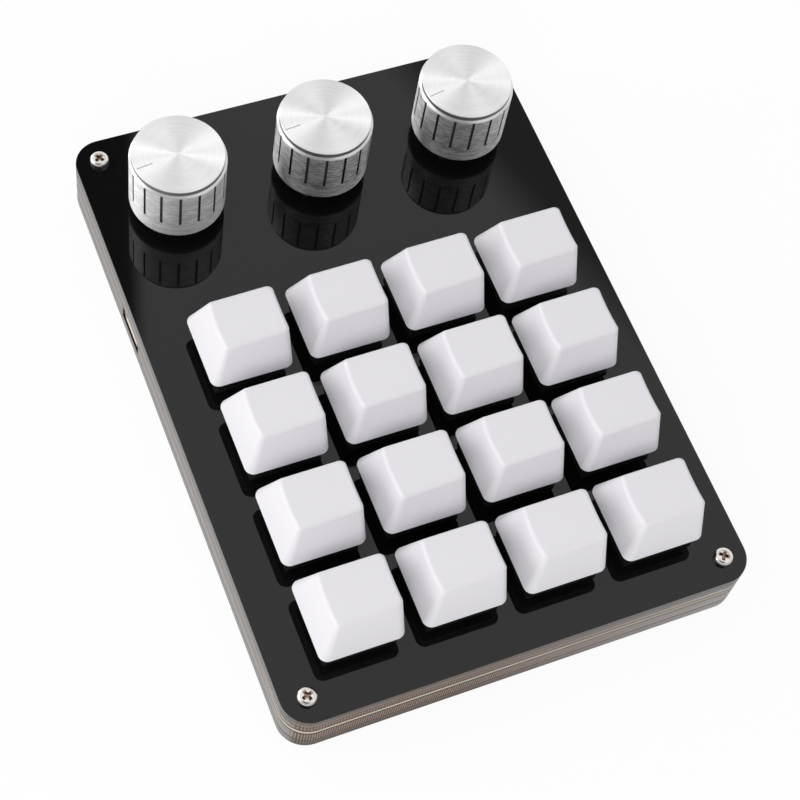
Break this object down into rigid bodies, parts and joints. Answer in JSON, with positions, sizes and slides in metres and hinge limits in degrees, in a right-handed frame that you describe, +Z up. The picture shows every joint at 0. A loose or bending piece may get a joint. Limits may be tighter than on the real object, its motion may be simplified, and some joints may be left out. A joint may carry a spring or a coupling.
{
  "type": "macro keypad",
  "caption": "Desktop macro keypad: a field of sculpted key switches under a row of knobs that turn and press, on a screwed stack of plates.",
  "frame": {"origin": "middle of the outline, on the desk under the feet", "axes": "+X along the key rows, +Y from the keys towards the knobs, +Z up"},
  "size_m": [0.1028, 0.143, 0.0349],
  "materials": {
    "smoked_plate": "gloss",
    "frosted_frame": "satin",
    "circuit_board": "satin",
    "switch_black": "satin",
    "spring_steel": "satin",
    "contact_metal": "satin",
    "pressed_steel": "satin",
    "chip_black": "matte",
    "screw_nickel": "gloss",
    "standoff_brass": "satin",
    "foot_rubber": "matte",
    "cap_white": "satin",
    "stem_plastic": "satin",
    "knob_aluminium": "satin",
    "bush_plastic": "satin"
  },
  "bodies": {
    "case": {"top_plate": "smoked_plate", "upper_frame": "frosted_frame", "circuit_board": "circuit_board", "lower_frame": "frosted_frame", "bottom_plate": "frosted_frame", "switch_lower_housings": "switch_black", "switch_upper_housings": "switch_black", "switch_springs": "spring_steel", "switch_contacts": "contact_metal", "encoder_bases": "switch_black", "encoder_covers": "pressed_steel", "usb_socket": "pressed_steel", "board_components": "chip_black", "case_screws": "screw_nickel", "standoffs": "standoff_brass", "rubber_feet": "foot_rubber"},
    "key_r1c1": {"keycap_r1c1": "cap_white", "stem_r1c1": "stem_plastic"},
    "key_r1c2": {"keycap_r1c2": "cap_white", "stem_r1c2": "stem_plastic"},
    "key_r1c3": {"keycap_r1c3": "cap_white", "stem_r1c3": "stem_plastic"},
    "key_r1c4": {"keycap_r1c4": "cap_white", "stem_r1c4": "stem_plastic"},
    "key_r2c1": {"keycap_r2c1": "cap_white", "stem_r2c1": "stem_plastic"},
    "key_r2c2": {"keycap_r2c2": "cap_white", "stem_r2c2": "stem_plastic"},
    "key_r2c3": {"keycap_r2c3": "cap_white", "stem_r2c3": "stem_plastic"},
    "key_r2c4": {"keycap_r2c4": "cap_white", "stem_r2c4": "stem_plastic"},
    "key_r3c1": {"keycap_r3c1": "cap_white", "stem_r3c1": "stem_plastic"},
    "key_r3c2": {"keycap_r3c2": "cap_white", "stem_r3c2": "stem_plastic"},
    "key_r3c3": {"keycap_r3c3": "cap_white", "stem_r3c3": "stem_plastic"},
    "key_r3c4": {"keycap_r3c4": "cap_white", "stem_r3c4": "stem_plastic"},
    "key_r4c1": {"keycap_r4c1": "cap_white", "stem_r4c1": "stem_plastic"},
    "key_r4c2": {"keycap_r4c2": "cap_white", "stem_r4c2": "stem_plastic"},
    "key_r4c3": {"keycap_r4c3": "cap_white", "stem_r4c3": "stem_plastic"},
    "key_r4c4": {"keycap_r4c4": "cap_white", "stem_r4c4": "stem_plastic"},
    "encoder_rotor_left": {"encoder_disc_left": "switch_black"},
    "dial_left": {"knob_left": "knob_aluminium", "knob_bush_left": "bush_plastic", "encoder_shaft_left": "pressed_steel"},
    "encoder_rotor_middle": {"encoder_disc_middle": "switch_black"},
    "dial_middle": {"knob_middle": "knob_aluminium", "knob_bush_middle": "bush_plastic", "encoder_shaft_middle": "pressed_steel"},
    "encoder_rotor_right": {"encoder_disc_right": "switch_black"},
    "dial_right": {"knob_right": "knob_aluminium", "knob_bush_right": "bush_plastic", "encoder_shaft_right": "pressed_steel"}
  },
  "joints": [
    {"name": "key_r1c1_press", "type": "slide", "parent": "case", "child": "key_r1c1", "axis": [0, 0, -1], "range_m": [0, 0.004], "stiffness_N_per_m": 75, "springref_m": -0.004, "deforming": ["switch_springs"]},
    {"name": "key_r1c2_press", "type": "slide", "parent": "case", "child": "key_r1c2", "axis": [0, 0, -1], "range_m": [0, 0.004], "stiffness_N_per_m": 75, "springref_m": -0.004, "deforming": ["switch_springs"]},
    {"name": "key_r1c3_press", "type": "slide", "parent": "case", "child": "key_r1c3", "axis": [0, 0, -1], "range_m": [0, 0.004], "stiffness_N_per_m": 75, "springref_m": -0.004, "deforming": ["switch_springs"]},
    {"name": "key_r1c4_press", "type": "slide", "parent": "case", "child": "key_r1c4", "axis": [0, 0, -1], "range_m": [0, 0.004], "stiffness_N_per_m": 75, "springref_m": -0.004, "deforming": ["switch_springs"]},
    {"name": "key_r2c1_press", "type": "slide", "parent": "case", "child": "key_r2c1", "axis": [0, 0, -1], "range_m": [0, 0.004], "stiffness_N_per_m": 75, "springref_m": -0.004, "deforming": ["switch_springs"]},
    {"name": "key_r2c2_press", "type": "slide", "parent": "case", "child": "key_r2c2", "axis": [0, 0, -1], "range_m": [0, 0.004], "stiffness_N_per_m": 75, "springref_m": -0.004, "deforming": ["switch_springs"]},
    {"name": "key_r2c3_press", "type": "slide", "parent": "case", "child": "key_r2c3", "axis": [0, 0, -1], "range_m": [0, 0.004], "stiffness_N_per_m": 75, "springref_m": -0.004, "deforming": ["switch_springs"]},
    {"name": "key_r2c4_press", "type": "slide", "parent": "case", "child": "key_r2c4", "axis": [0, 0, -1], "range_m": [0, 0.004], "stiffness_N_per_m": 75, "springref_m": -0.004, "deforming": ["switch_springs"]},
    {"name": "key_r3c1_press", "type": "slide", "parent": "case", "child": "key_r3c1", "axis": [0, 0, -1], "range_m": [0, 0.004], "stiffness_N_per_m": 75, "springref_m": -0.004, "deforming": ["switch_springs"]},
    {"name": "key_r3c2_press", "type": "slide", "parent": "case", "child": "key_r3c2", "axis": [0, 0, -1], "range_m": [0, 0.004], "stiffness_N_per_m": 75, "springref_m": -0.004, "deforming": ["switch_springs"]},
    {"name": "key_r3c3_press", "type": "slide", "parent": "case", "child": "key_r3c3", "axis": [0, 0, -1], "range_m": [0, 0.004], "stiffness_N_per_m": 75, "springref_m": -0.004, "deforming": ["switch_springs"]},
    {"name": "key_r3c4_press", "type": "slide", "parent": "case", "child": "key_r3c4", "axis": [0, 0, -1], "range_m": [0, 0.004], "stiffness_N_per_m": 75, "springref_m": -0.004, "deforming": ["switch_springs"]},
    {"name": "key_r4c1_press", "type": "slide", "parent": "case", "child": "key_r4c1", "axis": [0, 0, -1], "range_m": [0, 0.004], "stiffness_N_per_m": 75, "springref_m": -0.004, "deforming": ["switch_springs"]},
    {"name": "key_r4c2_press", "type": "slide", "parent": "case", "child": "key_r4c2", "axis": [0, 0, -1], "range_m": [0, 0.004], "stiffness_N_per_m": 75, "springref_m": -0.004, "deforming": ["switch_springs"]},
    {"name": "key_r4c3_press", "type": "slide", "parent": "case", "child": "key_r4c3", "axis": [0, 0, -1], "range_m": [0, 0.004], "stiffness_N_per_m": 75, "springref_m": -0.004, "deforming": ["switch_springs"]},
    {"name": "key_r4c4_press", "type": "slide", "parent": "case", "child": "key_r4c4", "axis": [0, 0, -1], "range_m": [0, 0.004], "stiffness_N_per_m": 75, "springref_m": -0.004, "deforming": ["switch_springs"]},
    {"name": "dial_left_turn", "type": "hinge", "parent": "case", "child": "encoder_rotor_left", "pos_m": [-0.0334, 0.0502, 0.0174], "axis": [0, 0, 1], "continuous": true},
    {"name": "dial_left_press", "type": "slide", "parent": "encoder_rotor_left", "child": "dial_left", "axis": [0, 0, -1], "range_m": [0, 0.0005], "stiffness_N_per_m": 4000, "springref_m": -0.0002},
    {"name": "dial_middle_turn", "type": "hinge", "parent": "case", "child": "encoder_rotor_middle", "pos_m": [0, 0.0502, 0.0174], "axis": [0, 0, 1], "continuous": true},
    {"name": "dial_middle_press", "type": "slide", "parent": "encoder_rotor_middle", "child": "dial_middle", "axis": [0, 0, -1], "range_m": [0, 0.0005], "stiffness_N_per_m": 4000, "springref_m": -0.0002},
    {"name": "dial_right_turn", "type": "hinge", "parent": "case", "child": "encoder_rotor_right", "pos_m": [0.0334, 0.0502, 0.0174], "axis": [0, 0, 1], "continuous": true},
    {"name": "dial_right_press", "type": "slide", "parent": "encoder_rotor_right", "child": "dial_right", "axis": [0, 0, -1], "range_m": [0, 0.0005], "stiffness_N_per_m": 4000, "springref_m": -0.0002}
  ]
}
